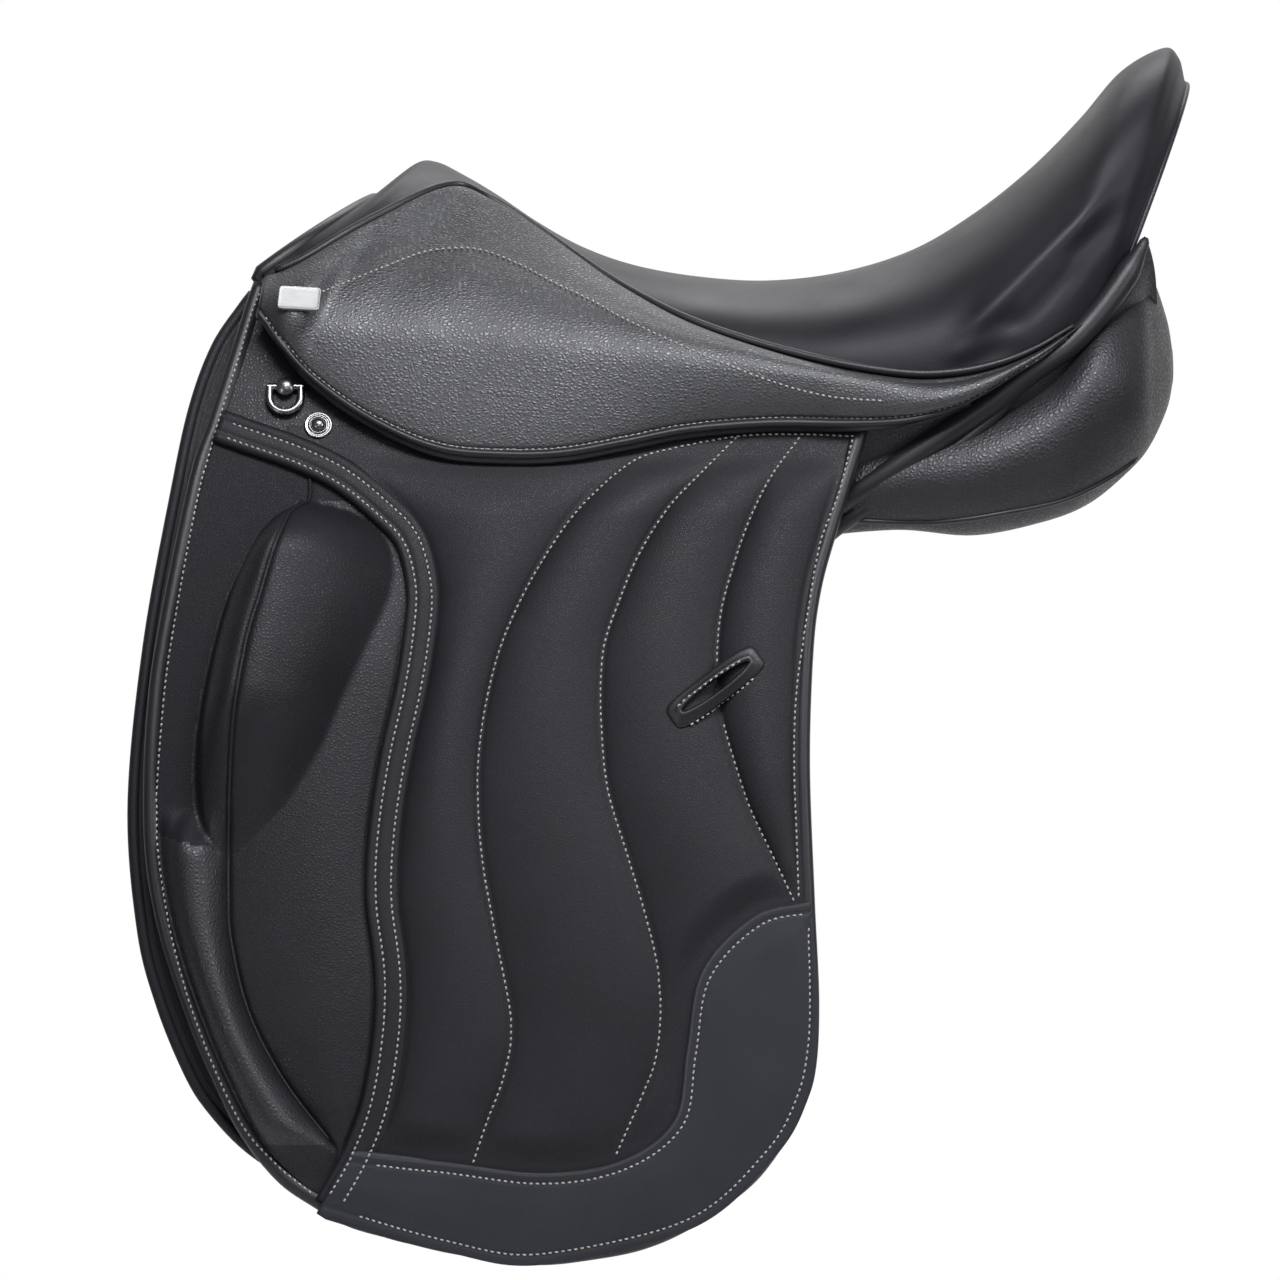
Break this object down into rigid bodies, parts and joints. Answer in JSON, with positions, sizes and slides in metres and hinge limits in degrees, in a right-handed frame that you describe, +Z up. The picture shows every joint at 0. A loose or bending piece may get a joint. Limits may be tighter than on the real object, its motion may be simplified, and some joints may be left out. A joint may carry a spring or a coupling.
{
  "type": "dressage saddle",
  "caption": "Dressage saddle with a deep padded seat, long quilted flaps with knee blocks, padded panels, lifting skirts and flaps, stirrup bars, girth billets and dee rings.",
  "frame": {"origin": "on the mid-plane, in the gullet under the lowest part of the seat", "axes": "+X back to the cantle, +Y to the off side, +Z up"},
  "size_m": [0.5126, 0.4668, 0.5768],
  "materials": {
    "seat_leather": "smooth satin",
    "skirt_leather": "pebbled grain",
    "flap_leather": "fine grain",
    "patch_leather": "smooth",
    "panel_leather": "soft grain",
    "billet_leather": "smooth strap",
    "tree": "laminated beech, varnished",
    "foam": "soft foam",
    "web": "woven web",
    "steel": "forged, plain",
    "chrome": "polished"
  },
  "bodies": {
    "saddle": {"tree": "tree", "head_plate": "steel", "head_plate_rivets": "steel", "stirrup_bar_left": "steel", "stirrup_bar_right": "steel", "stirrup_bar_rivets": "steel", "catch_pins": "steel", "seat_webs": "web", "girth_webs_left": "web", "girth_webs_right": "web", "seat_foam": "foam", "seat_cover": "seat_leather", "seat_piping_left": "seat_leather", "seat_piping_right": "seat_leather", "pommel_facing": "seat_leather", "cantle_facing": "seat_leather", "skirt_upper_left": "skirt_leather", "skirt_upper_right": "skirt_leather", "name_plates": "chrome", "flap_head_left": "flap_leather", "flap_head_right": "flap_leather", "dee_staples": "chrome", "point_screws": "chrome", "point_washers": "chrome", "panel_left": "panel_leather", "panel_right": "panel_leather", "panel_roll_left": "panel_leather", "panel_roll_right": "panel_leather", "sweat_flap_left": "flap_leather", "sweat_flap_right": "flap_leather"},
    "flap_left": {"flap_left": "flap_leather", "flap_facing_left": "flap_leather", "flap_patch_left": "patch_leather", "knee_block_left": "foam", "knee_pad_left": "flap_leather", "keeper_left": "flap_leather"},
    "skirt_left": {"skirt_left": "skirt_leather"},
    "front_billet_left": {"front_billet_left": "billet_leather"},
    "rear_billet_left": {"rear_billet_left": "billet_leather"},
    "dee_ring_left": {"dee_ring_left": "chrome"},
    "bar_catch_left": {"bar_catch_left": "steel"},
    "flap_right": {"flap_right": "flap_leather", "flap_facing_right": "flap_leather", "flap_patch_right": "patch_leather", "knee_block_right": "foam", "knee_pad_right": "flap_leather", "keeper_right": "flap_leather"},
    "skirt_right": {"skirt_right": "skirt_leather"},
    "front_billet_right": {"front_billet_right": "billet_leather"},
    "rear_billet_right": {"rear_billet_right": "billet_leather"},
    "dee_ring_right": {"dee_ring_right": "chrome"},
    "bar_catch_right": {"bar_catch_right": "steel"}
  },
  "joints": [
    {"name": "flap_left_lift", "type": "hinge", "parent": "saddle", "child": "flap_left", "pos_m": [0, -0.14891, -0.002], "axis": [-1, 0, 0], "range_deg": [0, 70]},
    {"name": "skirt_left_lift", "type": "hinge", "parent": "saddle", "child": "skirt_left", "pos_m": [-0.226, -0.133, 0.074], "axis": [-0.9939, 0.0492, 0.0985], "range_deg": [0, 60]},
    {"name": "front_billet_left_swing", "type": "hinge", "parent": "saddle", "child": "front_billet_left", "pos_m": [-0.095, -0.13834, 0.00069], "axis": [0, 0.9266, -0.3761], "range_deg": [-5, 5]},
    {"name": "rear_billet_left_swing", "type": "hinge", "parent": "saddle", "child": "rear_billet_left", "pos_m": [-0.005, -0.13834, 0.00069], "axis": [0, 0.9266, -0.3761], "range_deg": [-5, 5]},
    {"name": "dee_left_swing", "type": "hinge", "parent": "saddle", "child": "dee_ring_left", "pos_m": [-0.219, -0.13072, 0.0465], "axis": [-1, 0, 0], "range_deg": [0, 70]},
    {"name": "catch_left_turn", "type": "hinge", "parent": "saddle", "child": "bar_catch_left", "pos_m": [-0.1275, -0.11506, 0.05369], "axis": [0, -0.9119, 0.4104], "range_deg": [0, 80]},
    {"name": "flap_right_lift", "type": "hinge", "parent": "saddle", "child": "flap_right", "pos_m": [0, 0.14891, -0.002], "axis": [1, 0, 0], "range_deg": [0, 70]},
    {"name": "skirt_right_lift", "type": "hinge", "parent": "saddle", "child": "skirt_right", "pos_m": [-0.226, 0.133, 0.074], "axis": [0.9939, 0.0492, -0.0985], "range_deg": [0, 60]},
    {"name": "front_billet_right_swing", "type": "hinge", "parent": "saddle", "child": "front_billet_right", "pos_m": [-0.095, 0.13834, 0.00069], "axis": [0, 0.9266, 0.3761], "range_deg": [-5, 5]},
    {"name": "rear_billet_right_swing", "type": "hinge", "parent": "saddle", "child": "rear_billet_right", "pos_m": [-0.005, 0.13834, 0.00069], "axis": [0, 0.9266, 0.3761], "range_deg": [-5, 5]},
    {"name": "dee_right_swing", "type": "hinge", "parent": "saddle", "child": "dee_ring_right", "pos_m": [-0.219, 0.13072, 0.0465], "axis": [1, 0, 0], "range_deg": [0, 70]},
    {"name": "catch_right_turn", "type": "hinge", "parent": "saddle", "child": "bar_catch_right", "pos_m": [-0.1275, 0.11506, 0.05369], "axis": [0, -0.9119, -0.4104], "range_deg": [0, 80]}
  ]
}
